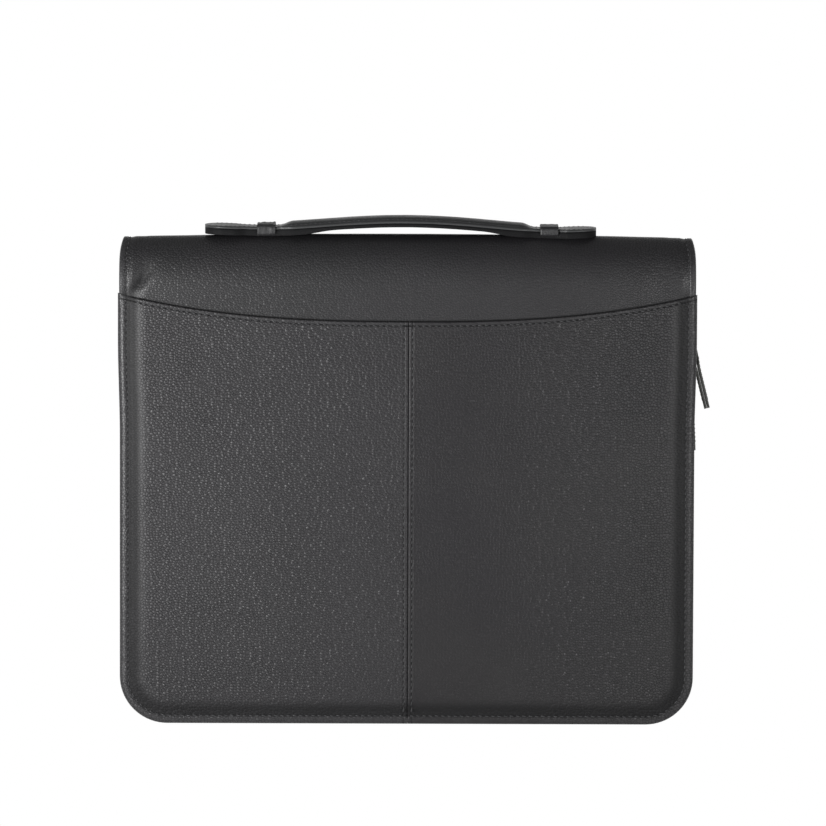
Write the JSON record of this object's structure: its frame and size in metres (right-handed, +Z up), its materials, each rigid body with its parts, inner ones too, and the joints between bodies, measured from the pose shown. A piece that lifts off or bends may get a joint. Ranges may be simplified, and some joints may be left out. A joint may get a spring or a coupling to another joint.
{
  "type": "leather document case",
  "caption": "Slim zip-around leather document case with a back pocket, a rounded spine and a flat handle that slides through keepers.",
  "frame": {"origin": "middle of the front cover's lower edge, on the surface that the case stands on", "axes": "+Z up, +X along the handle towards the zip pulls, -Y out of the back cover that has the pocket"},
  "size_m": [0.3688, 0.043, 0.3175],
  "materials": {
    "cover_leather": "pebbled, semi-matt",
    "handle_leather": "smooth, semi-matt",
    "pull_leather": "fine grain, semi-matt",
    "thread": "waxed polyester thread",
    "zip_tape": "woven, matt",
    "zip_teeth": "nylon coil",
    "zip_metal": "dark nickel"
  },
  "bodies": {
    "root": {"cover": "cover_leather", "pocket_panel_left": "cover_leather", "pocket_panel_right": "cover_leather", "zip_tape_back": "zip_tape", "zip_tape_front": "zip_tape", "zip_chain": "zip_teeth", "zip_slider_upper": "zip_metal", "zip_slider_lower": "zip_metal", "zip_ring_upper": "zip_metal", "zip_ring_lower": "zip_metal", "zip_pull_upper": "pull_leather", "zip_pull_lower": "pull_leather", "handle_lower_strap": "handle_leather", "handle_upper_strap": "handle_leather", "keeper_left": "handle_leather", "keeper_right": "handle_leather"}
  },
  "joints": []
}
